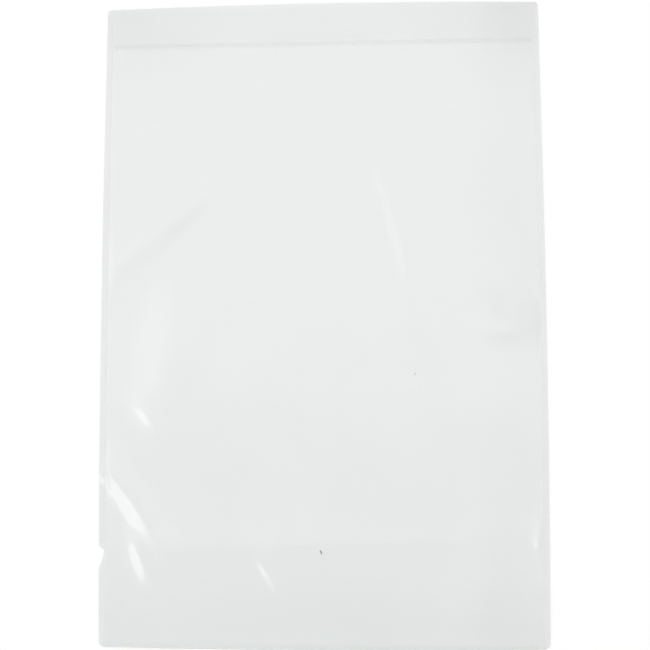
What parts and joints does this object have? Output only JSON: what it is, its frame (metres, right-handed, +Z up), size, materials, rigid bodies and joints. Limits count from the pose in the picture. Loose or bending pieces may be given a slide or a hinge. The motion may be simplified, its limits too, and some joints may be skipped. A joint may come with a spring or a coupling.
{
  "type": "zipper bag",
  "caption": "Clear flat film bag with a press-to-close zipper below its open lip, welded sides and a folded bottom gusset, empty and shut.",
  "frame": {"origin": "on the table, under the middle of the bag as it lies on its back panel", "axes": "+X across the bag, +Y from the gusseted foot to the mouth, +Z up through the front panel"},
  "size_m": [0.203, 0.2955, 0.0038],
  "materials": {
    "clear_film": "clear glossy low-density polyethylene film, faintly hazy",
    "zipper_profile": "translucent extruded polyethylene profile"
  },
  "bodies": {
    "root": {"bag_film": "clear_film", "zipper_channel_strip": "zipper_profile", "zipper_rib_strip": "zipper_profile"}
  },
  "joints": []
}
